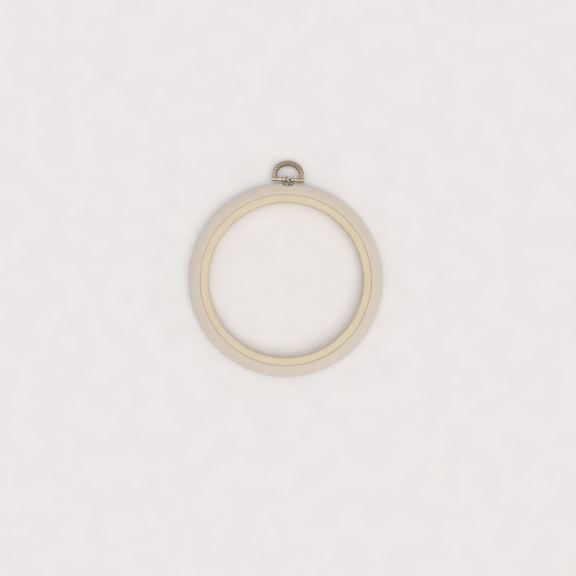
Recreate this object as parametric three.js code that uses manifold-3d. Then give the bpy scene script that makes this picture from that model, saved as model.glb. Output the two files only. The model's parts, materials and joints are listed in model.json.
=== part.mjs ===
// A screwless embroidery hoop, lying on its back. A rigid inner ring with a lip round its back carries
// the cloth, a soft half-round outer ring presses down over it, and a cast bail in a rope pattern hangs
// on a wire eye at the top, so that finished work can stay in the hoop and be hung on a wall.
// Millimetres. +Z points out of the front and +Y towards the bail. The origin is in the middle of the
// footprint.
import * as THREE from "three";
import { mergeVertices } from "three/addons/utils/BufferGeometryUtils.js";
import Module from "manifold-3d";

// The two rings
const windowDiameter = 100; // clear opening, where the stitching shows
const faceWidth = 4.8; // front face of the inner ring, from the window to the seam
const fabricGap = 0.3; // room for the cloth between the rings
const outerRingWidth = 7.5; // from the outer ring's bore to its outside
const hoopHeight = 9; // crest of the outer ring above the table
const faceDrop = 0.3; // inner ring's face below that crest
const windowEdgeRadius = 0.9;
const seamEdgeRadius = 0.4;
const windowDraft = 0.35; // the window widens by this towards the back
const lipThickness = 1.3; // back lip that stops the outer ring
const lipReach = 2.3; // how far the lip stands out under the outer ring
const lipEdgeRadius = 0.35;
const seatGap = 0.3; // between the lip and the rebate that takes it
const shoulderRadius = 0.6; // rounding of the outer ring beside the seam
const channelDepth = 0.5; // shallow channel round the inner ring's wall
const channelHeight = 4;
const gripBeadHeight = 2.6; // soft bead that presses the cloth into the channel
const gripBeadGap = 0.1; // between the bead and the inner ring's wall

// The wire eye, its collar and its nut
const wireDiameter = 1.5;
const wireSideGap = 0.15; // between the shank and the wire's end beside it
const bendAngle = 28; // degrees of the turn that the bend from the shank takes up
const eyeEndAngle = 335; // degrees of the turn at which the wire is cut off
const crossingAngle = 230; // degrees at which the wire starts to cross over to its end's side
const shankClearance = 0.15; // round the shank, in the ring, collar and nut
const collarEndWall = 0.1; // collar's wall at its ends
const collarCrown = 0.4; // how far its round middle stands out
const collarThickness = 1.3;
const collarSeatMargin = 0.9; // seat in the ring's outside, beyond the collar
const collarSeatDepth = 1.7;
const nutWall = 0.9; // from the nut's bore to its flats
const nutThickness = 1.4;
const nutRecess = 0.2; // nut below the wall of the outer ring's bore
const pocketClearance = 0.2; // round the nut
const eyeGap = 0.3; // between the collar and the eye

// The hinge pin, spacer beads and bail
const pinDiameter = 1.2;
const pinClearance = 0.15;
const pinHeadOverlap = 0.2; // how far a head stands over the edge of the bore
const pinHeadHeight = 0.3;
const sideGap = 0.2; // between neighbours along the pin
const beadLength = 2.35;
const beadWall = 0.7;
const beadShoulderRadius = 0.5;
const sleeveLength = 6;
const sleeveEndWall = 0.65; // sleeve's wall at the pin's ends
const sleeveNeckWall = 0.3; // and beside the beads
const legInset = 1.75; // middle of the bail's leg, in from the sleeve's end
const legHeight = 3.9; // straight leg, from the pin to the arch
const archHeight = 7.2; // half an ellipse on the legs
const footDiameter = 2.4; // rope inside the sleeve
const crownDiameter = 4.1; // rope at the top of the arch
const swellPower = 0.6; // how soon the rope swells above the foot: 1 evenly, less sooner
const ropeStrands = 3;
const strandPitch = 1.75; // from one strand to the next along the arch
const strandGroove = 0.3; // depth of the grooves, as a share of the rope's radius
const bailLean = 2; // degrees that the loose bail leans in its eye
const tableGap = 0.15; // under the resting crown

// Fineness of the round shapes
const ringSegments = 88;
const turnedSegments = 24;
const wireSides = 10;
const eyeSteps = 48;
const ropeSidesPerStrand = 6;
const ropeStepsPerLay = 12;

// Places worked out from the sizes
const windowRadius = windowDiameter / 2;
const seamRadius = windowRadius + faceWidth;
const lipRadius = seamRadius + lipReach;
const faceHeight = hoopHeight - faceDrop;
const boreRadius = seamRadius + fabricGap;
const outerRadius = boreRadius + outerRingWidth;
const midHeight = hoopHeight / 2;
const crestRadius = boreRadius + shoulderRadius;

const wireRadius = wireDiameter / 2;
const shankBoreRadius = wireRadius + shankClearance;
const collarRadius = shankBoreRadius + collarEndWall + collarCrown;
const nutAcrossFlats = 2 * (shankBoreRadius + nutWall);
const pinRadius = pinDiameter / 2;
const pinBoreRadius = pinRadius + pinClearance;
const coilRadius = pinBoreRadius + wireRadius; // centreline of the eye
const shankX = -(wireDiameter + wireSideGap) / 2; // the shank stands on one side, the wire's end on the other
const collarSeatRadius = collarRadius - shankX + collarSeatMargin; // the seat lies on the middle line
const collarSeatY = outerRadius - collarSeatDepth;
const collarBackY = collarSeatY + seatGap / 2;
const collarFrontY = collarBackY + collarThickness;
const hingeY = collarFrontY + eyeGap + coilRadius + wireRadius;
const nutInnerY = boreRadius + nutRecess;
const nutOuterY = nutInnerY + nutThickness;

const beadStart = wireRadius - shankX + sideGap;
const sleeveStart = beadStart + beadLength + sideGap;
const sleeveEnd = sleeveStart + sleeveLength;
const legX = sleeveEnd - legInset;
const crownReach = legHeight + archHeight;
const crownRadius = crownDiameter / 2;
const bailDroop = Math.asin((midHeight - crownRadius - tableGap) / crownReach);

// The footprint runs from the bottom of the ring to the top of the drooping bail
const footprintTop = hingeY + crownReach * Math.cos(bailDroop) + crownRadius;
const hoopY = (outerRadius - footprintTop) / 2;

const wasm = await Module();
wasm.setup();

// Solids for cutting and joining
const toSolid = (geometry) => {
  const bare = geometry.index ? geometry.toNonIndexed() : geometry.clone();
  bare.deleteAttribute("normal");
  bare.deleteAttribute("uv");
  const merged = mergeVertices(bare, 1e-4);
  return new wasm.Manifold(
    new wasm.Mesh({
      numProp: 3,
      vertProperties: merged.attributes.position.array,
      triVerts: new Uint32Array(merged.index.array),
    }),
  );
};

const toGeometry = (solid) => {
  const { vertProperties, triVerts } = solid.getMesh();
  const geometry = new THREE.BufferGeometry();
  geometry.setAttribute("position", new THREE.BufferAttribute(vertProperties, 3));
  geometry.setIndex(new THREE.BufferAttribute(triVerts, 1));
  const flat = geometry.toNonIndexed();
  flat.computeVertexNormals();
  return flat;
};

const arc = (centreX, centreY, radiusX, radiusY, from, to, steps) =>
  Array.from({ length: steps + 1 }, (_, i) => {
    const angle = THREE.MathUtils.degToRad(from + ((to - from) * i) / steps);
    return new THREE.Vector2(centreX + radiusX * Math.cos(angle), centreY + radiusY * Math.sin(angle));
  });

const point = (x, y) => new THREE.Vector2(x, y);

// Quarter round inside a square corner, starting at the given angle and turning left
const roundedEdge = (cornerX, cornerY, radius, from, steps) => {
  const middle = THREE.MathUtils.degToRad(from + 45);
  const centreX = cornerX - radius * Math.sign(Math.cos(middle));
  const centreY = cornerY - radius * Math.sign(Math.sin(middle));
  return arc(centreX, centreY, radius, radius, from, from + 90, steps);
};

// Revolves a closed profile of (radius, height) about +Z
const revolve = (profile, segments) =>
  new THREE.LatheGeometry([...profile, profile[0].clone()], segments).rotateX(Math.PI / 2);

// Revolves a profile that starts and ends on the axis, and lays the axis along +X
const turnAlongX = (profile) => new THREE.LatheGeometry(profile, turnedSegments).rotateZ(-Math.PI / 2);

const rodAlongY = (radius, from, to) =>
  new THREE.CylinderGeometry(radius, radius, to - from, turnedSegments).translate(0, (from + to) / 2, 0);

const rodAlongX = (radius, from, to) => rodAlongY(radius, from, to).rotateZ(-Math.PI / 2);

// Inner ring: flat face, drafted window wall, channelled outer wall and back lip
function innerRingGeometry() {
  const channelMiddle = (lipThickness + faceHeight) / 2;
  const channelLow = channelMiddle - channelHeight / 2;
  const channelHigh = channelMiddle + channelHeight / 2;
  const profile = [
    point(windowRadius + windowDraft, 0),
    ...roundedEdge(lipRadius, 0, lipEdgeRadius, -90, 2),
    ...roundedEdge(lipRadius, lipThickness, lipEdgeRadius, 0, 2),
    point(seamRadius, lipThickness),
    point(seamRadius, channelLow),
    point(seamRadius - channelDepth, channelLow + channelDepth),
    point(seamRadius - channelDepth, channelHigh - channelDepth),
    point(seamRadius, channelHigh),
    ...roundedEdge(seamRadius, faceHeight, seamEdgeRadius, 0, 3),
    ...roundedEdge(windowRadius, faceHeight, windowEdgeRadius, 90, 4),
  ];
  return revolve(profile, ringSegments);
}

// Outer ring: half-round outside, rounded shoulder at the seam, soft grip bead in the bore and a rebate
// for the lip
function outerRingGeometry() {
  const rebateRadius = lipRadius + seatGap;
  const rebateHeight = lipThickness + seatGap;
  const halfWidth = outerRadius - crestRadius;
  const rebateAngle = -THREE.MathUtils.radToDeg(Math.acos((rebateRadius - crestRadius) / halfWidth));
  const gripMiddle = (lipThickness + faceHeight) / 2;
  const gripProud = fabricGap - gripBeadGap;
  const profile = [
    ...arc(crestRadius, midHeight, halfWidth, midHeight, rebateAngle, 90, 14),
    ...roundedEdge(boreRadius, hoopHeight, shoulderRadius, 90, 4).slice(1),
    ...arc(boreRadius, gripMiddle, gripProud, gripBeadHeight / 2, 90, 270, 4),
    point(boreRadius, rebateHeight),
    point(rebateRadius, rebateHeight),
  ];
  const shankHole = rodAlongY(shankBoreRadius, seamRadius, outerRadius + seatGap);
  const collarSeat = rodAlongY(collarSeatRadius, collarSeatY, outerRadius + seatGap);
  const pocketWidth = nutAcrossFlats + 2 * pocketClearance;
  const pocketFloor = nutOuterY + pocketClearance;
  const pocketMouth = seamRadius;
  const nutPocket = new THREE.BoxGeometry(pocketWidth, pocketFloor - pocketMouth, pocketWidth);
  nutPocket.translate(0, (pocketFloor + pocketMouth) / 2, 0);
  const ring = toSolid(revolve(profile, ringSegments));
  const cuts = [collarSeat, shankHole.translate(shankX, 0, 0), nutPocket.translate(shankX, 0, 0)];
  const toCut = cuts.map((cut) => toSolid(cut.translate(0, 0, midHeight)));
  return toGeometry(toCut.reduce((solid, cut) => solid.subtract(cut), ring));
}

// Centreline of the eye: a straight shank, a bend, then a turn round the pin that crosses over the front
// and ends beside the shank. Angles are measured round the pin from the shank's side.
function eyeCentreline() {
  const leave = THREE.MathUtils.degToRad(bendAngle);
  const end = THREE.MathUtils.degToRad(eyeEndAngle);
  const crossing = THREE.MathUtils.degToRad(crossingAngle);
  const onTurn = (share) => {
    const angle = leave + (end - leave) * share;
    const across = THREE.MathUtils.smoothstep(angle, crossing, end);
    const x = shankX * (1 - 2 * across);
    return new THREE.Vector3(x, -coilRadius * Math.cos(angle), -coilRadius * Math.sin(angle));
  };
  const cornerY = -coilRadius / Math.cos(leave);
  const shankEnd = new THREE.Vector3(shankX, nutInnerY - hingeY, 0);
  const bendStart = new THREE.Vector3(shankX, cornerY - wireRadius, 0);
  const bendCorner = new THREE.Vector3(shankX, cornerY, 0);
  const path = new THREE.CurvePath();
  path.add(new THREE.LineCurve3(shankEnd, bendStart));
  path.add(new THREE.QuadraticBezierCurve3(bendStart, bendCorner, onTurn(0)));
  path.add(new THREE.CatmullRomCurve3(Array.from({ length: 25 }, (_, i) => onTurn(i / 24))));
  return path;
}

function screwEyeGeometry() {
  const section = new THREE.Shape(arc(0, 0, wireRadius, wireRadius, 0, 360, wireSides).slice(0, -1));
  const extrudePath = eyeCentreline();
  return new THREE.ExtrudeGeometry(section, { steps: eyeSteps, bevelEnabled: false, extrudePath });
}

// Collar: a short turned barrel, bored for the shank
function collarGeometry() {
  const half = collarThickness / 2;
  const profile = [
    point(0, collarBackY),
    ...arc(shankBoreRadius + collarEndWall, collarBackY + half, collarCrown, half, -90, 90, 6),
    point(0, collarFrontY),
  ];
  const body = toSolid(new THREE.LatheGeometry(profile, turnedSegments));
  const bore = toSolid(rodAlongY(shankBoreRadius, collarBackY - 1, collarFrontY + 1));
  return toGeometry(body.subtract(bore));
}

function nutGeometry() {
  const body = new THREE.BoxGeometry(nutAcrossFlats, nutThickness, nutAcrossFlats);
  body.translate(0, (nutInnerY + nutOuterY) / 2, 0);
  const bore = rodAlongY(shankBoreRadius, nutInnerY - 1, nutOuterY + 1);
  return toGeometry(toSolid(body).subtract(toSolid(bore)));
}

// Pin: a plain rod whose two ends are spread into low round heads
function pinGeometry() {
  const headRadius = pinBoreRadius + pinHeadOverlap;
  const seat = sleeveEnd + sideGap / 2;
  const end = (side) => [
    point(pinRadius, seat * side),
    ...arc(0, seat * side, headRadius, pinHeadHeight * side, 0, 90, 3).slice(0, -1),
    point(0, (seat + pinHeadHeight) * side),
  ];
  return turnAlongX([...end(-1).reverse(), ...end(1)]);
}

// Spacer bead: a short rod with round shoulders
function beadGeometry() {
  const beadRadius = pinBoreRadius + beadWall;
  const profile = [
    point(0, -beadLength / 2),
    ...roundedEdge(beadRadius, -beadLength / 2, beadShoulderRadius, -90, 4),
    ...roundedEdge(beadRadius, beadLength / 2, beadShoulderRadius, 0, 4),
    point(0, beadLength / 2),
  ];
  const bore = toSolid(rodAlongX(pinBoreRadius, -beadLength, beadLength));
  return toGeometry(toSolid(turnAlongX(profile)).subtract(bore));
}

// Rope that follows the legs and the arch: strands twisted together, fattest at the crown
function ropeSolid() {
  const path = new THREE.Path().moveTo(legX, 0).lineTo(legX, legHeight);
  path.absellipse(0, legHeight, legX, archHeight, 0, Math.PI).lineTo(-legX, 0);
  const lays = Math.round(path.getLength() / (ropeStrands * strandPitch));
  const steps = lays * ropeStepsPerLay;
  const sides = ropeStrands * ropeSidesPerStrand;
  const positions = [];
  const place = (along, around, share) => {
    const centre = path.getPoint(along);
    const tangent = path.getTangent(along);
    const swell = Math.abs(Math.sin(Math.PI * along)) ** swellPower;
    const diameter = footDiameter + (crownDiameter - footDiameter) * swell;
    const strand = 1 - strandGroove * (1 - Math.abs(Math.cos((ropeStrands * around) / 2)));
    const out = (share * strand * diameter) / 2;
    const turned = around + 2 * Math.PI * lays * along;
    const outward = out * Math.cos(turned);
    positions.push(centre.x + outward * tangent.y, centre.y - outward * tangent.x, out * Math.sin(turned));
  };
  for (let i = 0; i <= steps; i++)
    for (let j = 0; j < sides; j++) place(i / steps, (2 * Math.PI * j) / sides, 1);
  place(0, 0, 0);
  place(1, 0, 0);
  const startCentre = (steps + 1) * sides;
  const endCentre = startCentre + 1;
  const lastRing = steps * sides;
  const faces = [];
  for (let j = 0; j < sides; j++) {
    const next = (j + 1) % sides;
    for (let ring = 0; ring < lastRing; ring += sides) {
      const above = ring + sides;
      faces.push(ring + j, above + j, ring + next, ring + next, above + j, above + next);
    }
    faces.push(startCentre, j, next, endCentre, lastRing + next, lastRing + j);
  }
  const geometry = new THREE.BufferGeometry();
  geometry.setAttribute("position", new THREE.Float32BufferAttribute(positions, 3));
  geometry.setIndex(faces);
  return toSolid(geometry);
}

// Bail: the rope arch, standing on a tapered sleeve at each end, with the pin's bore through both
function bailGeometry() {
  const sleeve = (side) => {
    const inner = point(pinBoreRadius + sleeveNeckWall, sleeveStart);
    const outer = point(pinBoreRadius + sleeveEndWall, sleeveEnd);
    const profile = [point(0, sleeveStart), inner, outer, point(0, sleeveEnd)];
    const geometry = turnAlongX(profile);
    return toSolid(side > 0 ? geometry : geometry.rotateZ(Math.PI));
  };
  const bore = toSolid(rodAlongX(pinBoreRadius, -sleeveEnd - 1, sleeveEnd + 1));
  return toGeometry(ropeSolid().add(sleeve(1)).add(sleeve(-1)).subtract(bore));
}

const rigidPlastic = new THREE.MeshStandardMaterial({ color: 0xdbccb3, roughness: 0.45, metalness: 0 });
const softVinyl = new THREE.MeshStandardMaterial({ color: 0xd8cbbc, roughness: 0.5, metalness: 0 });
const agedBrass = new THREE.MeshStandardMaterial({ color: 0xb5a07c, roughness: 0.35, metalness: 1 });
const steel = new THREE.MeshStandardMaterial({ color: 0xa8a6a2, roughness: 0.4, metalness: 1 });

const named = (name, geometry, material) => {
  const mesh = new THREE.Mesh(geometry, material);
  mesh.name = name;
  return mesh;
};

const hoop = new THREE.Group();
hoop.position.y = hoopY;
hoop.add(named("inner_ring", innerRingGeometry(), rigidPlastic));
hoop.add(named("outer_ring", outerRingGeometry(), softVinyl));

// Pieces on the shank's axis
const mount = new THREE.Group();
mount.position.set(shankX, 0, midHeight);
mount.add(named("eye_collar", collarGeometry(), agedBrass));
mount.add(named("retaining_nut", nutGeometry(), steel));
hoop.add(mount);

// Pieces round the pin. The bail droops until its crown is just above the table, and leans in the eye.
const hinge = new THREE.Group();
hinge.position.set(0, hingeY, midHeight);
hinge.add(named("screw_eye", screwEyeGeometry(), agedBrass));
const swing = new THREE.Group();
swing.rotation.set(-bailDroop, 0, -THREE.MathUtils.degToRad(bailLean), "ZYX");
swing.add(named("bail", bailGeometry(), agedBrass));
swing.add(named("hinge_pin", pinGeometry(), agedBrass));
for (const [name, side] of [["spacer_bead_left", -1], ["spacer_bead_right", 1]]) {
  const bead = named(name, beadGeometry(), agedBrass);
  bead.position.x = side * (beadStart + beadLength / 2);
  swing.add(bead);
}
hinge.add(swing);
hoop.add(hinge);

export default hoop;
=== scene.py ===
# The look of a screwless embroidery hoop: a cream inner ring, a soft beige outer ring, and a cast brass
# bail in a rope pattern that swings on a wire eye. Sizes in the dictionaries are millimetres.
import json
import math

import bmesh
import bpy
from mathutils import Matrix, Vector


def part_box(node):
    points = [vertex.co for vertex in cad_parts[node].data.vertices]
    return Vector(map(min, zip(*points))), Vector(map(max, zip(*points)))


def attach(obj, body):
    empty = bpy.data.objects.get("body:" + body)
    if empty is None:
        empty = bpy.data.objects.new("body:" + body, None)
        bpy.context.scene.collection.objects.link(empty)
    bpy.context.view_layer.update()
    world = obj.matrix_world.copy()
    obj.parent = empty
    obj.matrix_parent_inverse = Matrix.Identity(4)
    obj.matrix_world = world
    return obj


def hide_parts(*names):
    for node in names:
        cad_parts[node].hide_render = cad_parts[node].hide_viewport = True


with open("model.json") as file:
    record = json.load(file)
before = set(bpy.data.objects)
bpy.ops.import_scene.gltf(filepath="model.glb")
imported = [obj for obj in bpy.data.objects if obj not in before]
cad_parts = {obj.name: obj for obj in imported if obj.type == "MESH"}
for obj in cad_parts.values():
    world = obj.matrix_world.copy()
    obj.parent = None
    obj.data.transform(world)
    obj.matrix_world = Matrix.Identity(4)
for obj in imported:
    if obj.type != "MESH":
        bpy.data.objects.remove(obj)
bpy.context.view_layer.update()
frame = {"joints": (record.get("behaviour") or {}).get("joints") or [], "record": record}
mm = 0.001


# Small helpers for working in edit mode
def startPiece():
    if bpy.context.object and bpy.context.object.mode != "OBJECT":
        bpy.ops.object.mode_set(mode="OBJECT")
    bpy.ops.object.select_all(action="DESELECT")


def pick(kind, test):  # selects the vertices, edges or faces that pass the test
    bpy.ops.mesh.select_mode(type=kind)
    bpy.ops.mesh.select_all(action="DESELECT")
    mesh = bmesh.from_edit_mesh(bpy.context.object.data)
    for item in {"VERT": mesh.verts, "EDGE": mesh.edges, "FACE": mesh.faces}[kind]:
        item.select_set(test(item))
    mesh.select_flush_mode()
    bmesh.update_edit_mesh(bpy.context.object.data)


def middle(edge):
    return (edge.verts[0].co + edge.verts[1].co) / 2


def bend(centreR, centreZ, radiusR, radiusZ, start, end, steps):  # points on an arc, in degrees
    turns = [math.radians(start + (end - start) * i / steps) for i in range(steps + 1)]
    return [(centreR + radiusR * math.cos(t), centreZ + radiusZ * math.sin(t)) for t in turns]


def roundEdge(cornerR, cornerZ, radius, start, steps=8):  # quarter round inside a square corner
    inside = math.radians(start + 45)
    centreR = cornerR - math.copysign(radius, math.cos(inside))
    centreZ = cornerZ - math.copysign(radius, math.sin(inside))
    return bend(centreR, centreZ, radius, radius, start, start + 90, steps)


def turn(name, outline, steps):  # draws an outline of (radius, height) and spins it round Z
    startPiece()
    bpy.ops.mesh.primitive_plane_add(size=mm)
    piece = bpy.context.object
    piece.name = name
    bpy.ops.object.mode_set(mode="EDIT")
    bpy.ops.mesh.select_mode(type="VERT")
    bpy.ops.mesh.merge(type="CENTER")
    bpy.ops.transform.translate(value=(outline[0][0] * mm, 0, outline[0][1] * mm))
    for (fromR, fromZ), (toR, toZ) in zip(outline, outline[1:]):
        move = ((toR - fromR) * mm, 0, (toZ - fromZ) * mm)
        bpy.ops.mesh.extrude_vertices_move(TRANSFORM_OT_translate={"value": move})
    bpy.ops.mesh.select_all(action="SELECT")
    bpy.ops.mesh.spin(steps=steps, angle=2 * math.pi, center=(0, 0, 0), axis=(0, 0, 1))
    closeUp()
    return piece


def closeUp():  # merges doubles and turns all faces outwards
    bpy.ops.mesh.select_mode(type="VERT")
    bpy.ops.mesh.select_all(action="SELECT")
    bpy.ops.mesh.remove_doubles(threshold=0.0005 * mm)
    bpy.ops.mesh.normals_make_consistent(inside=False)
    bpy.ops.object.mode_set(mode="OBJECT")


def wire(name, path, radius, fineness, profile=None, twist=None, swell=None):
    # a curve through the points of a path, with a round section or the given one
    startPiece()
    bpy.ops.curve.primitive_nurbs_path_add()
    piece = bpy.context.object
    piece.name = name
    curve = piece.data
    curve.splines.clear()
    spline = curve.splines.new("POLY")
    spline.points.add(len(path) - 1)
    for i, (point, spot) in enumerate(zip(spline.points, path)):
        point.co = (*(spot * mm), 1)
        point.tilt = twist[i] if twist else 0
        point.radius = swell[i] if swell else 1
    curve.twist_mode = "MINIMUM"
    curve.use_fill_caps = True
    if profile:
        curve.bevel_mode = "OBJECT"
        curve.bevel_object = profile
    else:
        curve.bevel_depth = radius * mm
        curve.bevel_resolution = fineness
    bpy.ops.object.convert(target="MESH")
    return bpy.context.object


def change(piece, kind, **settings):  # adds a modifier and applies it
    startPiece()
    piece.select_set(True)
    bpy.context.view_layer.objects.active = piece
    modifier = piece.modifiers.new(kind, kind)
    for name, value in settings.items():
        setattr(modifier, name, value)
    bpy.ops.object.modifier_apply(modifier=modifier.name)


def cut(piece, *cutters):
    for cutter in cutters:
        change(piece, "BOOLEAN", operation="DIFFERENCE", solver="EXACT", object=cutter)
        bpy.data.objects.remove(cutter)


def join(first, *others):
    startPiece()
    for piece in (first, *others):
        piece.select_set(True)
    bpy.context.view_layer.objects.active = first
    bpy.ops.object.join()


def place(piece, matrix):  # moves a piece to its place and applies the move to its mesh
    startPiece()
    piece.matrix_world = matrix @ piece.matrix_world
    piece.select_set(True)
    bpy.context.view_layer.objects.active = piece
    bpy.ops.object.transform_apply(location=True, rotation=True, scale=True)


def finishPiece(piece, node, material, angle=35):
    startPiece()
    piece.select_set(True)
    bpy.context.view_layer.objects.active = piece
    bpy.ops.object.shade_smooth_by_angle(angle=math.radians(angle))
    piece.data.materials.clear()
    piece.data.materials.append(material)
    bodies = frame["record"]["behaviour"]["bodies"]
    body = next(name for name, nodes in bodies.items() if node in nodes)
    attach(piece, body)
    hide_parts(node)
    print(f"{piece.name}: {len(piece.data.polygons)} faces, rides on {body}")


# Shader nodes written as sums
class Value:
    def __init__(self, finish, socket):
        self.finish = finish
        self.socket = socket

    def sum(self, operation, first, second):
        return self.finish.node("ShaderNodeMath", {"operation": operation}, {0: first, 1: second})

    def __add__(self, other):
        return self.sum("ADD", self, other)

    def __radd__(self, other):
        return self.sum("ADD", other, self)

    def __sub__(self, other):
        return self.sum("SUBTRACT", self, other)

    def __rsub__(self, other):
        return self.sum("SUBTRACT", other, self)

    def __mul__(self, other):
        return self.sum("MULTIPLY", self, other)

    def __rmul__(self, other):
        return self.sum("MULTIPLY", other, self)


# Scales from metres to mm for distances: seen along an axis, or from all sides
toMm = 1000
alongAxisX = (0, toMm, toMm)
alongAxisY = (toMm, 0, toMm)
alongAxisZ = (toMm, toMm, 0)
allRound = (toMm, toMm, toMm)


class Finish:
    def __init__(self, name, **constants):
        self.material = bpy.data.materials.new(name)
        self.material.use_nodes = True
        self.tree = self.material.node_tree
        self.shader = self.tree.nodes["Principled BSDF"]
        for socket, value in constants.items():
            self.feed(self.shader.inputs[socket.replace("_", " ")], value)
        self.spot = self.node("ShaderNodeTexCoord", {}, {}, "Object")

    def feed(self, socket, value):
        if isinstance(value, Value):
            self.tree.links.new(value.socket, socket)
        else:
            socket.default_value = value

    def node(self, kind, settings, sockets, output=0):
        made = self.tree.nodes.new(kind)
        for name, value in settings.items():
            setattr(made, name, value)
        for socket, value in sockets.items():
            self.feed(made.inputs[socket], value)
        return Value(self, made.outputs[output])

    def noise(self, size, detail):  # size of its patches in mm
        sockets = {"Vector": self.spot, "Scale": 1 / (size * mm), "Detail": detail}
        return self.node("ShaderNodeTexNoise", {}, sockets, "Fac")

    def between(self, value, low, high):  # 0 below low, 1 above high, smooth between them
        settings = {"interpolation_type": "SMOOTHSTEP"}
        sockets = {"Value": value, "From Min": low, "From Max": high}
        return self.node("ShaderNodeMapRange", settings, sockets)

    def mix(self, share, first, second):  # of colours, which are sockets 6 and 7 and output 2
        return self.node("ShaderNodeMix", {"data_type": "RGBA"}, {0: share, 6: first, 7: second}, 2)

    def part(self, axis):  # one coordinate, in metres
        return self.node("ShaderNodeSeparateXYZ", {}, {0: self.spot}, axis)

    def size(self, value):  # without its sign
        return self.node("ShaderNodeMath", {"operation": "ABSOLUTE"}, {0: value})

    def nearby(self, reach, inside):  # 1 in the open, less in a recess or, from inside, under a ridge
        settings = {"only_local": True, "samples": 8, "inside": inside}
        return self.node("ShaderNodeAmbientOcclusion", settings, {"Distance": reach * mm}, "AO")

    def vector(self, operation, sockets, output=0):
        return self.node("ShaderNodeVectorMath", {"operation": operation}, sockets, output)

    def radius(self, centre, across):  # distance in mm from a centre, seen along an axis
        offset = self.vector("SUBTRACT", {0: self.spot, 1: centre})
        seen = self.vector("MULTIPLY", {0: offset, 1: across})
        return self.vector("LENGTH", {0: seen}, "Value")

    def bump(self, height, depth):  # height from 0 to 1, depth in mm
        sockets = {"Height": height, "Distance": depth * mm, "Strength": 1}
        self.feed(self.shader.inputs["Normal"], self.node("ShaderNodeBump", {}, sockets))

    def colour(self, value):
        self.feed(self.shader.inputs["Base Color"], value)

    def roughness(self, value):
        self.feed(self.shader.inputs["Roughness"], value)


def tint(red, green, blue):  # screen colour from 0 to 255, as the shader's linear colour
    def linear(level):
        return level / 12.92 if level <= 0.04045 else ((level + 0.055) / 1.055) ** 2.4

    return (linear(red / 255), linear(green / 255), linear(blue / 255), 1)


ringLow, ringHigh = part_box("inner_ring")
hoopCentre = Vector(((ringLow.x + ringHigh.x) / 2, (ringLow.y + ringHigh.y) / 2, 0))
atHoop = Matrix.Translation(hoopCentre)
swing = next(joint for joint in frame["joints"] if joint["name"] == "bail_swing")
hinge = Vector(swing["pos_m"])
hingeAxis = Vector(swing["axis"])
print("frame loaded, hoop centre", [round(c / mm, 2) for c in hoopCentre])


# Cream moulded plastic of the inner ring
creamPlastic = {
    "face": tint(212, 196, 167),
    "pale": tint(216, 201, 174),
    "worn": tint(205, 188, 159),
    "paleLimits": (0.35, 0.65),  # of the noise, between which a patch fades in
    "wearLimits": (0.5, 0.8),
    "wear": 0.5,
    "patch": 14,
    "cloud": 2.8,
    "grain": 0.35,
    "grainDepth": 0.004,
    "grainShare": 0.8,
    "marks": 21,  # turning marks, in radians to the mm
    "marksShare": 0.06,
    "roughness": 0.42,
    "unevenness": 0.12,
}


def makeCreamPlastic(look):
    finish = Finish("creamPlastic", IOR=1.5)
    patches = finish.noise(look["patch"], detail=2)
    grain = finish.noise(look["grain"], detail=2)
    clouds = finish.noise(look["cloud"], detail=4)
    pale = finish.between(patches, *look["paleLimits"])
    base = finish.mix(pale, look["face"], look["pale"])
    wear = finish.between(clouds, *look["wearLimits"]) * look["wear"]
    finish.colour(finish.mix(wear, base, look["worn"]))
    finish.roughness(look["roughness"] + (clouds - 0.5) * look["unevenness"])
    turned = finish.radius(hoopCentre, alongAxisZ) * look["marks"]
    marks = finish.node("ShaderNodeMath", {"operation": "SINE"}, {0: turned})
    finish.bump(grain * look["grainShare"] + marks * look["marksShare"], look["grainDepth"])
    return finish.material


# Soft beige vinyl of the outer ring
beigeVinyl = {
    "crest": tint(212, 198, 182),
    # painted light: towards the outer edge the vinyl turns greyer and less yellow, standing in for
    # light through its thin rim
    "paleRimLight": tint(209, 201, 191),
    "paleRimLightLimits": (58, 62),  # mm from the hoop's centre
    "cloud": tint(216, 204, 189),
    "cloudLimits": (0.45, 0.7),
    "clouding": 0.6,
    "stainAndShade": tint(118, 98, 76),  # painted shade in the collar's seat, with a brown stain from the brass, in and round the seat
    "stainAndShadeShare": 0.9,
    "stainAndShadeAside": 0.2,  # mm to the right of the middle
    "stainAndShadeReach": 4.7,
    "stainAndShadeStart": 59.8,  # mm from the hoop's centre
    "stainAndShadeFade": 1,
    "stainAndShadeRagged": 1.5,
    "stainAndShadeSide": 10,  # mm from the middle over which it sets in, only towards the hanger
    "glow": 0.45,  # share of the light that goes into the vinyl
    "glowDepth": 3,
    "glowTint": (1, 0.85, 0.7),
    "patch": 9,
    "scuff": 9 / 7,  # seven across a patch
    "grain": 0.18,
    "grainDepth": 0.006,
    "roughness": 0.46,
    "unevenness": 0.2,
}


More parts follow.
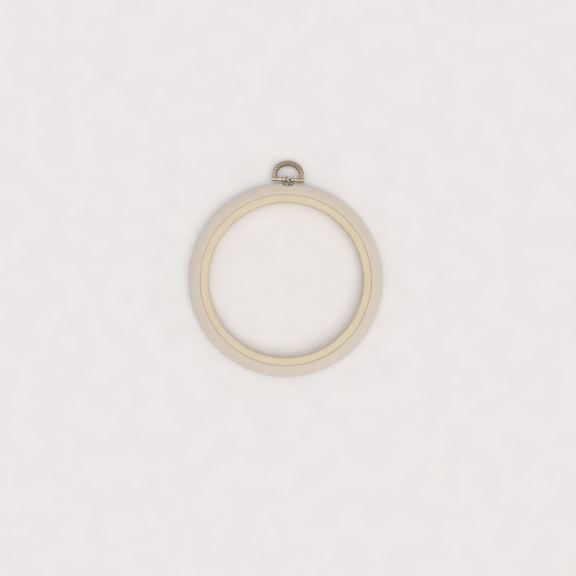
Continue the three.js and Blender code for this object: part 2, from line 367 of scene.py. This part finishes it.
def makeBeigeVinyl(look):
    translucent = {
        "Subsurface_Weight": look["glow"],
        "Subsurface_Radius": look["glowTint"],
        "Subsurface_Scale": look["glowDepth"] * mm,
    }
    finish = Finish("beigeVinyl", IOR=1.46, **translucent)
    patches = finish.noise(look["patch"], detail=3)
    grain = finish.noise(look["grain"], detail=2)
    scuffs = finish.noise(look["scuff"], detail=5)
    fromCentre = finish.radius(hoopCentre, alongAxisZ)
    # Painted light towards the outer edge, over the vinyl's own colour at the crest
    towardPaleRimLight = finish.between(fromCentre, *look["paleRimLightLimits"])
    base = finish.mix(towardPaleRimLight, look["crest"], look["paleRimLight"])
    clouds = finish.between(patches, *look["cloudLimits"]) * look["clouding"]
    clean = finish.mix(clouds, base, look["cloud"])
    # Painted shade and a brass stain darken the collar's seat and its surround, on the hanger's side
    stainAndShadeMiddle = hinge + Vector((look["stainAndShadeAside"] * mm, 0, 0))
    ragged = (scuffs - 0.5) * look["stainAndShadeRagged"]
    fromStainAndShade = finish.radius(stainAndShadeMiddle, alongAxisY) + ragged
    near = 1 - finish.between(fromStainAndShade, look["stainAndShadeReach"] - look["stainAndShadeFade"], look["stainAndShadeReach"])
    outward = fromCentre - ragged
    deep = finish.between(outward, look["stainAndShadeStart"], look["stainAndShadeStart"] + look["stainAndShadeFade"])
    hangerSide = finish.between(finish.part("Y"), 0, look["stainAndShadeSide"] * mm)
    finish.colour(finish.mix(near * deep * hangerSide * look["stainAndShadeShare"], clean, look["stainAndShade"]))
    finish.roughness(look["roughness"] + (scuffs - 0.5) * look["unevenness"])
    finish.bump(grain, look["grainDepth"])
    return finish.material


# Aged brass: bright where hands rub it, with painted highlight on the front and round the eye, brown
# patina in the recesses, and grease with painted shade on the pin and in its joints
agedBrass = {
    "rubbedAndHighlit": tint(238, 226, 208),
    "metal": tint(190, 172, 148),
    "brown": tint(125, 106, 85),
    "greaseAndShade": tint(62, 50, 40),  # dark grease with painted shade, on the pin and in the joints between the turned pieces
    "joint": 4.225,  # mm from the middle
    "jointLimits": (0.1, 0.35),  # mm beside the joint
    "jointReach": (1.7, 2),  # mm from the pin's axis
    "jointGreaseAndShade": 0.6,
    "pinLimits": (0.62, 0.72),  # mm from the pin's axis
    "pinMiddle": 0.4,  # mm from the middle, between which the grease and painted shade fade in to the right
    "pinGreaseAndShade": 0.8,
    "recess": 0.8,  # mm over which a recess darkens
    "ridge": 0.4,  # and over which an edge is rubbed bright
    "frontLimits": (0.2, 0.95),
    "bareLimits": (0.52, 0.95),
    "rubbedAndHighlitLimits": (0.15, 0.55),
    "frontWearAndLight": 0.12,  # how much less the recesses darken in front: wear where hands reach, with painted light from above
    "frontRubAndHighlight": 0.09,  # and how much brighter the front is rubbed, with a painted highlight on top
    "handledRubAndHighlight": 0.13,  # the same round the eye, a painted highlight on the beads as well as rubbing
    "handledAndHighlitLimits": (4.1, 5),  # mm from the middle of the pin
    "mottle": 0.3,
    "patch": 1.4,
    "pit": 0.12,
    "pitDepth": 0.008,
    "smooth": 0.24,
    "dull": 0.5,
    "polish": 0.6,  # of the metal that hands don't reach
    "unevenness": 0.15,
}


def makeAgedBrass(look):
    finish = Finish("agedBrass", Metallic=1.0)
    shelter = finish.nearby(look["recess"], False)
    ridge = 1 - finish.nearby(look["ridge"], True)
    facing = finish.node("ShaderNodeTexCoord", {}, {}, "Normal")
    upward = finish.node("ShaderNodeSeparateXYZ", {}, {0: facing}, "Z")
    front = finish.between(upward, *look["frontLimits"])
    patches = finish.noise(look["patch"], detail=4)
    pits = finish.noise(look["pit"], detail=3)
    mottle = (patches - 0.5) * look["mottle"]
    # Faces toward +Z keep less patina: wear where hands reach, with painted light from above
    openness = shelter + front * look["frontWearAndLight"] + mottle
    bare = finish.between(openness, *look["bareLimits"])
    fromHinge = finish.radius(hinge, allRound)
    handledAndHighlit = 1 - finish.between(fromHinge, *look["handledAndHighlitLimits"])
    # Rubbed bright on ridges, with painted highlight on the front and round the eye
    touchedAndHighlit = ridge + front * look["frontRubAndHighlight"] + handledAndHighlit * look["handledRubAndHighlight"] + mottle
    rubbedAndHighlit = finish.between(touchedAndHighlit, *look["rubbedAndHighlitLimits"]) * bare
    base = finish.mix(bare, look["brown"], look["metal"])
    worn = finish.mix(rubbedAndHighlit, base, look["rubbedAndHighlit"])
    # Grease with painted shade in the gaps between beads and sleeves, and on the pin's right half
    fromAxis = finish.radius(hinge, alongAxisX)
    beside = finish.size(finish.size(finish.part("X")) * toMm - look["joint"])
    reached = 1 - finish.between(fromAxis, *look["jointReach"])
    joints = (1 - finish.between(beside, *look["jointLimits"])) * reached
    fade = look["pinMiddle"] * mm
    rightHalf = finish.between(finish.part("X"), -fade, fade)
    onPin = (1 - finish.between(fromAxis, *look["pinLimits"])) * rightHalf
    greasedAndShaded = joints * look["jointGreaseAndShade"] + onPin * handledAndHighlit * look["pinGreaseAndShade"]
    finish.colour(finish.mix(greasedAndShaded, worn, look["greaseAndShade"]))
    polished = bare * (look["polish"] + handledAndHighlit * (1 - look["polish"]))
    rough = look["dull"] - polished * (look["dull"] - look["smooth"])
    finish.roughness(rough + (pits - 0.5) * look["unevenness"])
    finish.bump(pits, look["pitDepth"])
    return finish.material


# Zinc plate of the nut, hidden in the ring's bore
zincPlate = {
    "bright": tint(190, 190, 188),
    "dull": tint(150, 151, 150),
    "dullLimits": (0.35, 0.7),
    "patch": 0.5,
    "patchDepth": 0.006,
    "roughness": 0.38,
    "unevenness": 0.3,
}


def makeZincPlate(look):
    finish = Finish("zincPlate", Metallic=1.0)
    patches = finish.noise(look["patch"], detail=4)
    dull = finish.between(patches, *look["dullLimits"])
    finish.colour(finish.mix(dull, look["bright"], look["dull"]))
    finish.roughness(look["roughness"] + (patches - 0.5) * look["unevenness"])
    finish.bump(patches, look["patchDepth"])
    return finish.material


plasticFinish = makeCreamPlastic(creamPlastic)
vinylFinish = makeBeigeVinyl(beigeVinyl)
brassFinish = makeAgedBrass(agedBrass)
zincFinish = makeZincPlate(zincPlate)
print("finishes made")


# Inner ring
innerRing = {
    "windowRadius": 50,
    "windowDraft": 0.35,
    "seamRadius": 54.8,
    "lipThickness": 1.3,
    "windowEdge": 0.9,
    "seamEdge": 0.3,
    "lipEdge": 0.35,
    "backEdge": 0.25,
    "channelDepth": 0.5,
    "channelHeight": 4,
    "steps": 320,
}


def makeInnerRing(ring):
    lipRadius = (ringHigh.x - ringLow.x) / 2 / mm
    faceHeight = ringHigh.z / mm
    channelMiddle = (ring["lipThickness"] + faceHeight) / 2
    low = channelMiddle - ring["channelHeight"] / 2
    high = channelMiddle + ring["channelHeight"] / 2
    floor = ring["seamRadius"] - ring["channelDepth"]
    backRadius = ring["windowRadius"] + ring["windowDraft"]
    outline = roundEdge(lipRadius, 0, ring["lipEdge"], -90, steps=5)
    outline += roundEdge(lipRadius, ring["lipThickness"], ring["lipEdge"], 0, steps=5)
    outline += [(ring["seamRadius"], ring["lipThickness"]), (ring["seamRadius"], low)]
    outline += [(floor, low + ring["channelDepth"]), (floor, high - ring["channelDepth"])]
    outline += [(ring["seamRadius"], high)]
    outline += roundEdge(ring["seamRadius"], faceHeight, ring["seamEdge"], 0)
    outline += roundEdge(ring["windowRadius"], faceHeight, ring["windowEdge"], 90, steps=10)
    outline += roundEdge(backRadius, 0, ring["backEdge"], 180, steps=4)
    piece = turn("innerRing", outline + outline[:1], ring["steps"])
    place(piece, atHoop)
    finishPiece(piece, "inner_ring", plasticFinish)


makeInnerRing(innerRing)

# Wire eye, its collar and its nut share the shank's axis
shank = {
    "x": -0.825,
    "wireRadius": 0.75,
    "clearance": 0.15,
    "steps": 64,
}
shankMiddle = Vector((shank["x"] * mm, hinge.y, hinge.z))
shankBore = shank["wireRadius"] + shank["clearance"]


def alongShank(y):  # lays a turned piece, which stands on Z, y mm from the hoop's centre
    spot = Vector((shankMiddle.x, hoopCentre.y + y * mm, shankMiddle.z))
    return Matrix.Translation(spot) @ Matrix.Rotation(-math.pi / 2, 4, "X")


def fromHoop(node):  # where a node on the shank starts and ends, in mm from the hoop's centre
    low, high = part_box(node)
    return (low.y - hoopCentre.y) / mm, (high.y - hoopCentre.y) / mm


def rod(radius, start, end):  # a plain rod for cutting, along the shank
    startPiece()
    depth = (end - start) * mm
    bpy.ops.mesh.primitive_cylinder_add(vertices=shank["steps"], radius=radius * mm, depth=depth)
    piece = bpy.context.object
    place(piece, alongShank((start + end) / 2))
    return piece


# Outer ring
outerRing = {
    "boreRadius": 55.1,
    "shoulder": 0.6,
    "seamGap": 0.06,  # the soft edge closes on the inner ring
    "seamEdge": 0.3,
    "seamLip": 0.7,
    "rebateRadius": 57.4,
    "rebateHeight": 1.6,
    "rebateEdge": 0.2,
    "rebateBlend": 2,  # degrees by which the round stops short of the rebate
    "gripHeight": 2.6,
    "gripProud": 0.2,
    "gripMiddle": 5,
    "seatRadius": 3.1,
    "seatBehind": 0.3,  # deeper than the collar
    "seatFillet": 0.3,
    "seatWall": 0.6,
    "seatMouth": 0.5,  # radius to which the mouth of the seat is rounded
    "pocketWidth": 4,
    "pocketBehind": 0.2,  # deeper than the nut
    "pocketCorner": 0.3,
    "seatPast": 0.5,  # how far each cutter reaches past what it cuts
    "pocketPast": 0.6,
    "holePast": 1,
    "steps": 320,
}


def makeOuterRing(ring):
    low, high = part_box("outer_ring")
    outerRadius = (high.x - low.x) / 2 / mm
    height = high.z / mm
    half = height / 2
    bore = ring["boreRadius"]
    crest = bore + ring["shoulder"]
    width = outerRadius - crest
    across = (ring["rebateRadius"] - crest) / width
    start = -math.degrees(math.acos(across)) + ring["rebateBlend"]
    outline = bend(crest, half, width, half, start, 90, steps=48)
    lipRadius = innerRing["seamRadius"] + ring["seamGap"]
    outline += roundEdge(lipRadius, height, ring["seamEdge"], 90, steps=8)
    outline += [(lipRadius, height - ring["seamLip"])]
    outline += [(bore, height - ring["seamLip"] - 2 * (bore - lipRadius))]
    gripHalf = ring["gripHeight"] / 2
    outline += bend(bore, ring["gripMiddle"], ring["gripProud"], gripHalf, 90, 270, steps=10)
    outline += roundEdge(bore, ring["rebateHeight"], ring["rebateEdge"], 180, steps=3)
    outline += [(ring["rebateRadius"], ring["rebateHeight"])]
    piece = turn("outerRing", outline + outline[:1], ring["steps"])
    place(piece, atHoop)

    # Seat for the collar, with a soft mouth, and the shank's hole
    seatFloor = fromHoop("eye_collar")[0] - ring["seatBehind"]
    depth = outerRadius - seatFloor + ring["seatPast"]
    wall, mouth = ring["seatWall"], ring["seatMouth"]
    seat = [(0, 0)]
    seat += roundEdge(ring["seatRadius"], 0, ring["seatFillet"], -90, steps=4)
    seat += bend(ring["seatRadius"] + mouth, wall, mouth, depth - wall, 180, 90, steps=8)
    seat += [(0, depth)]
    seatCutter = turn("seatCutter", seat, steps=96)
    place(seatCutter, Matrix.Translation((-shankMiddle.x, 0, 0)) @ alongShank(seatFloor))
    hole = rod(shankBore, bore - ring["holePast"], outerRadius + ring["holePast"])

    # Square pocket for the nut, with rounded corners
    startPiece()
    pocketFloor = fromHoop("retaining_nut")[1] + ring["pocketBehind"]
    pocketDepth = pocketFloor - bore + ring["pocketPast"]
    size = (ring["pocketWidth"] * mm, ring["pocketWidth"] * mm, pocketDepth * mm)
    bpy.ops.mesh.primitive_cube_add(size=1, scale=size)
    pocket = bpy.context.object
    bpy.ops.object.transform_apply(location=False, rotation=False, scale=True)
    bpy.ops.object.mode_set(mode="EDIT")
    pick("EDGE", lambda edge: abs(middle(edge).z) < 0.01 * mm)
    bpy.ops.mesh.bevel(offset=ring["pocketCorner"] * mm, segments=5, affect="EDGES")
    bpy.ops.object.mode_set(mode="OBJECT")
    place(pocket, alongShank(pocketFloor - pocketDepth / 2))
    cut(piece, seatCutter, hole, pocket)
    finishPiece(piece, "outer_ring", vinylFinish, angle=32)


makeOuterRing(outerRing)

# Collar: a short turned barrel round the shank
collar = {
    "endWall": 0.1,
    "crown": 0.4,
}


def makeCollar(ring):
    back, front = fromHoop("eye_collar")
    half = (front - back) / 2
    outline = [(shankBore, 0)]
    outline += bend(shankBore + ring["endWall"], half, ring["crown"], half, -90, 90, steps=24)
    outline += [(shankBore, 2 * half)]
    piece = turn("collar", outline + outline[:1], shank["steps"])
    place(piece, alongShank(back))
    finishPiece(piece, "eye_collar", brassFinish)


makeCollar(collar)

# Square nut
nut = {
    "flats": 3.6,
    "edge": 0.1,
    "cornerRadius": 2.25,
    "chamfer": 0.35,
    "past": 0.1,  # how far the chamfering shape stands past the nut
    "wide": 0.5,
    "holePast": 1,
}


def makeNut(sizes):
    startPiece()
    inner, outer = fromHoop("retaining_nut")
    size = (sizes["flats"] * mm, sizes["flats"] * mm, (outer - inner) * mm)
    bpy.ops.mesh.primitive_cube_add(size=1, scale=size)
    piece = bpy.context.object
    piece.name = "squareNut"
    bpy.ops.object.transform_apply(location=False, rotation=False, scale=True)
    change(piece, "BEVEL", width=sizes["edge"] * mm, segments=3, limit_method="NONE")
    half = (outer - inner) / 2
    faceRadius = sizes["cornerRadius"] - sizes["chamfer"]
    outside = sizes["cornerRadius"] + sizes["wide"]
    side = half - sizes["chamfer"]
    end = half + sizes["past"]
    crown = [(0, -end), (faceRadius, -end), (outside, -side)]
    crown += [(outside, side), (faceRadius, end), (0, end)]
    chamfer = turn("nutCrown", crown, steps=96)
    change(piece, "BOOLEAN", operation="INTERSECT", solver="EXACT", object=chamfer)
    bpy.data.objects.remove(chamfer)
    place(piece, alongShank(inner + half))
    cut(piece, rod(shankBore, inner - sizes["holePast"], outer + sizes["holePast"]))
    finishPiece(piece, "retaining_nut", zincFinish)


makeNut(nut)

# Wire eye: a straight shank, a bend, then a turn round the pin that crosses over
# and ends beside the shank
wireEye = {
    "coilRadius": 1.5,
    "bendAngle": 28,  # degrees round the pin, from the shank and underneath
    "crossing": 262,
    "endAngle": 335,
    "shankPoints": 8,
    "bendPoints": 12,
    "turnPoints": 96,
    "fineness": 10,
    "endEdge": 0.14,
}


def makeWireEye(eye):
    leave = math.radians(eye["bendAngle"])
    end = math.radians(eye["endAngle"])
    crossing = math.radians(eye["crossing"])
    coil = eye["coilRadius"]

    def onTurn(share):
        angle = leave + (end - leave) * share
        across = min(max((angle - crossing) / (end - crossing), 0), 1)
        across = across * across * (3 - 2 * across)  # sets off and arrives softly
        return Vector((shank["x"] * (1 - 2 * across), -coil * math.cos(angle), -coil * math.sin(angle)))

    corner = -coil / math.cos(leave)
    start = Vector((shank["x"], (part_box("screw_eye")[0].y - hinge.y) / mm, 0))
    bendStart = Vector((shank["x"], corner - shank["wireRadius"], 0))
    bendCorner = Vector((shank["x"], corner, 0))
    path = [start.lerp(bendStart, i / eye["shankPoints"]) for i in range(eye["shankPoints"])]
    for i in range(eye["bendPoints"]):
        share = i / eye["bendPoints"]
        path.append(bendStart.lerp(bendCorner, share).lerp(bendCorner.lerp(onTurn(0), share), share))
    path += [onTurn(i / eye["turnPoints"]) for i in range(eye["turnPoints"] + 1)]
    piece = wire("wireEye", path, shank["wireRadius"], eye["fineness"])
    bpy.ops.object.mode_set(mode="EDIT")
    pick("FACE", lambda face: len(face.verts) > 4)  # the cut ends
    bpy.ops.mesh.bevel(offset=eye["endEdge"] * mm, segments=3, affect="EDGES")
    closeUp()
    place(piece, Matrix.Translation(hinge))
    finishPiece(piece, "screw_eye", brassFinish)


makeWireEye(wireEye)


# The pin and what turns on it lie along the hinge's axis; the bail droops and leans in its eye
bail = {
    "boreRadius": 0.75,
    "boreLength": 30,
    "sleeveStart": 4.325,
    "sleeveEnd": 10.325,
    "neckRadius": 1.05,
    "endRadius": 1.4,
    "sleeveEdge": 0.12,
    "legX": 8.575,
    "legHeight": 3.9,
    "archHeight": 7.325,
    "footDiameter": 2.4,
    "crownDiameter": 3.8,
    "swellPower": 0.6,
    "lays": 6,
    "strands": 3,
    "groove": 0.38,
    "tableGap": 0.274,
    "legPoints": 100,
    "archPoints": 720,
    "pointsPerLay": 40,
    "sectionPoints": 72,
    "steps": 64,
    "voxel": 0.088,
    "softening": 6,
}
crownReach = bail["legHeight"] + bail["archHeight"]
droop = math.asin((hinge.z / mm - bail["crownDiameter"] / 2 - bail["tableGap"]) / crownReach)
lean = math.atan2(hingeAxis.y, hingeAxis.x)
onHinge = Matrix.Translation(hinge) @ Matrix.Rotation(lean, 4, "Z") @ Matrix.Rotation(-droop, 4, "X")
alongX = Matrix.Rotation(math.pi / 2, 4, "Y")  # lays a turned piece, which stands on Z, along the pin


def archPath(sizes, count):  # evenly spaced points up a leg, over half an ellipse and down again
    across, rise = sizes["legX"], sizes["legHeight"]
    points = sizes["legPoints"]
    over = bend(0, rise, across, sizes["archHeight"], 0, 180, sizes["archPoints"])
    dense = [(across, rise * i / points) for i in range(points)] + over
    dense += [(-across, rise * (1 - i / points)) for i in range(1, points + 1)]
    reached = [0]
    for first, second in zip(dense, dense[1:]):
        reached.append(reached[-1] + math.dist(first, second))
    path = []
    at = 0
    for i in range(count + 1):
        goal = reached[-1] * i / count
        while at < len(dense) - 2 and reached[at + 1] < goal:
            at += 1
        share = (goal - reached[at]) / (reached[at + 1] - reached[at])
        path.append(Vector((*dense[at], 0)).lerp(Vector((*dense[at + 1], 0)), share))
    return path


def makeRope(sizes):
    startPiece()
    bpy.ops.curve.primitive_bezier_circle_add(radius=mm)
    section = bpy.context.object
    section.data.splines.clear()
    spline = section.data.splines.new("POLY")
    spline.points.add(sizes["sectionPoints"] - 1)
    spline.use_cyclic_u = True
    for i, point in enumerate(spline.points):
        angle = 2 * math.pi * i / sizes["sectionPoints"]
        ridge = 1 - sizes["groove"] * (1 - abs(math.cos(sizes["strands"] * angle / 2)))
        radius = sizes["footDiameter"] / 2 * ridge * mm
        point.co = (radius * math.cos(angle), radius * math.sin(angle), 0, 1)
    steps = sizes["lays"] * sizes["pointsPerLay"]
    fullSwell = sizes["crownDiameter"] / sizes["footDiameter"] - 1
    twist = [2 * math.pi * sizes["lays"] * i / steps for i in range(steps + 1)]
    rise = [abs(math.sin(math.pi * i / steps)) for i in range(steps + 1)]
    swell = [1 + fullSwell * share ** sizes["swellPower"] for share in rise]
    rope = wire("ropeBail", archPath(sizes, steps), 0, 0, section, twist, swell)
    bpy.data.objects.remove(section)
    bpy.ops.object.mode_set(mode="EDIT")
    closeUp()
    return rope


def makeSleeve(sizes, side):
    length = sizes["sleeveEnd"] - sizes["sleeveStart"]
    outline = [(0, 0)]
    outline += roundEdge(sizes["neckRadius"], 0, sizes["sleeveEdge"], -90, steps=5)
    outline += roundEdge(sizes["endRadius"], length, sizes["sleeveEdge"], 0, steps=5)
    outline += [(0, length)]
    piece = turn("sleeve", outline, sizes["steps"])
    facing = Matrix.Rotation(side * math.pi / 2, 4, "Y")
    place(piece, Matrix.Translation((side * sizes["sleeveStart"] * mm, 0, 0)) @ facing)
    return piece


def makeBail(sizes):
    rope = makeRope(sizes)
    join(rope, makeSleeve(sizes, -1), makeSleeve(sizes, 1))
    change(rope, "REMESH", mode="VOXEL", voxel_size=sizes["voxel"] * mm, adaptivity=0)
    change(rope, "SMOOTH", factor=0.5, iterations=sizes["softening"])
    startPiece()
    boreSize = {"radius": sizes["boreRadius"] * mm, "depth": sizes["boreLength"] * mm}
    bpy.ops.mesh.primitive_cylinder_add(vertices=sizes["steps"], **boreSize)
    bore = bpy.context.object
    place(bore, alongX)
    cut(rope, bore)
    place(rope, onHinge)
    finishPiece(rope, "bail", brassFinish, angle=50)


makeBail(bail)

# Pin with its ends spread over the sleeves
pin = {
    "radius": 0.6,
    "headRadius": 0.95,
    "headHeight": 0.3,
    "seat": 10.425,
    "steps": 64,
}


def makePin(sizes):
    head = bend(0, sizes["seat"], sizes["headRadius"], sizes["headHeight"], 0, 90, steps=12)[:-1]
    foot = [(radius, -height) for radius, height in reversed(head)]
    outline = [(0, -sizes["seat"] - sizes["headHeight"])] + foot
    outline += [(sizes["radius"], -sizes["seat"]), (sizes["radius"], sizes["seat"])] + head
    outline += [(0, sizes["seat"] + sizes["headHeight"])]
    piece = turn("hingePin", outline, sizes["steps"])
    place(piece, onHinge @ alongX)
    finishPiece(piece, "hinge_pin", brassFinish)


makePin(pin)

# Spacer beads: short rods with round shoulders
bead = {
    "start": 1.775,
    "length": 2.35,
    "boreRadius": 0.75,
    "wall": 0.7,
    "shoulder": 0.5,
    "steps": 64,
}


def makeBead(sizes, name, node, side):
    half = sizes["length"] / 2
    outside = sizes["boreRadius"] + sizes["wall"]
    outline = [(sizes["boreRadius"], -half)]
    outline += roundEdge(outside, -half, sizes["shoulder"], -90, steps=10)
    outline += roundEdge(outside, half, sizes["shoulder"], 0, steps=10)
    outline += [(sizes["boreRadius"], half)]
    piece = turn(name, outline + outline[:1], sizes["steps"])
    middleX = side * (sizes["start"] + half) * mm
    place(piece, onHinge @ Matrix.Translation((middleX, 0, 0)) @ alongX)
    finishPiece(piece, node, brassFinish)


makeBead(bead, "beadLeft", "spacer_bead_left", -1)
makeBead(bead, "beadRight", "spacer_bead_right", 1)


# Floor, light and camera
floorLook = {
    "colour": tint(235, 231, 230),
    "shade": tint(232, 228, 227),
    "shadeLimits": (0.35, 0.65),
    "patch": 18,
    "size": 4,  # metres
}


def makeFloor(look):
    startPiece()
    bpy.ops.mesh.primitive_plane_add(size=look["size"], location=(0, 0, 0))
    floor = bpy.context.object
    floor.name = "floor"
    finish = Finish("paleFloor", Roughness=0.9)
    patches = finish.noise(look["patch"], detail=3)
    shade = finish.between(patches, *look["shadeLimits"])
    finish.colour(finish.mix(shade, look["colour"], look["shade"]))
    floor.data.materials.append(finish.material)


makeFloor(floorLook)

light = {
    "backdrop": 0.83,  # low down, as pale as the floor
    "backdropTop": 0.2,  # sine of the angle up to which it is full; at twice that it has gone
    "side": 0.53,
    "overhead": 1.57,
    "narrowing": 5,  # how closely the bright part of the sky keeps overhead
    "sun": 0.65,
    "azimuth": 308,  # of the sun, in degrees from +X
    "elevation": 55,
    "softness": 48,
}


def makeLight(look):
    world = bpy.data.worlds.new("studio")
    bpy.context.scene.world = world
    world.use_nodes = True
    tree = world.node_tree
    direction = tree.nodes.new("ShaderNodeTexCoord")
    height = tree.nodes.new("ShaderNodeSeparateXYZ")
    narrow = tree.nodes.new("ShaderNodeMath")
    narrow.operation = "POWER"
    narrow.inputs[1].default_value = look["narrowing"]
    above = tree.nodes.new("ShaderNodeMapRange")
    above.inputs["To Min"].default_value = look["side"]
    above.inputs["To Max"].default_value = look["overhead"]
    low = tree.nodes.new("ShaderNodeMapRange")
    low.interpolation_type = "SMOOTHSTEP"
    low.inputs["From Min"].default_value = look["backdropTop"] * 2
    low.inputs["From Max"].default_value = look["backdropTop"]
    low.inputs["To Max"].default_value = look["backdrop"] - look["side"]
    strength = tree.nodes.new("ShaderNodeMath")
    background = tree.nodes["Background"]
    background.inputs["Color"].default_value = (1, 1, 1, 1)
    tree.links.new(direction.outputs["Generated"], height.inputs["Vector"])
    tree.links.new(height.outputs["Z"], narrow.inputs[0])
    tree.links.new(narrow.outputs["Value"], above.inputs["Value"])
    tree.links.new(height.outputs["Z"], low.inputs["Value"])
    tree.links.new(above.outputs["Result"], strength.inputs[0])
    tree.links.new(low.outputs["Result"], strength.inputs[1])
    tree.links.new(strength.outputs["Value"], background.inputs["Strength"])
    startPiece()
    turned = math.radians(look["azimuth"])
    raised = math.radians(look["elevation"])
    level = math.cos(raised)
    toward = Vector((math.cos(turned) * level, math.sin(turned) * level, math.sin(raised)))
    bpy.ops.object.light_add(type="SUN", location=toward)
    sun = bpy.context.object
    sun.rotation_euler = toward.to_track_quat("Z", "Y").to_euler()
    sun.data.energy = look["sun"]
    sun.data.angle = math.radians(look["softness"])


makeLight(light)

camera = {
    "height": 0.42,  # metres above the floor
    "viewWidth": 0.3723,  # metres across the picture, at half the hoop's height
    "right": -0.00143,  # where the hoop's centre is in the picture, in metres from the middle
    "up": 0.00512,
    "roll": 1.26,
    "sensor": 36,
}


def makeCamera(view):
    startPiece()
    roll = math.radians(view["roll"])
    offset = Matrix.Rotation(roll, 4, "Z") @ Vector((view["right"], view["up"], 0))
    spot = hoopCentre - offset + Vector((0, 0, view["height"]))
    bpy.ops.object.camera_add(location=spot, rotation=(0, 0, roll))
    made = bpy.context.object
    made.data.sensor_width = view["sensor"]
    made.data.lens = view["sensor"] * (view["height"] - hinge.z) / view["viewWidth"]
    made.data.clip_start = 0.01
    bpy.context.scene.camera = made


makeCamera(camera)
print("floor, light and camera placed")

bpy.context.scene.view_settings.view_transform = "Standard"
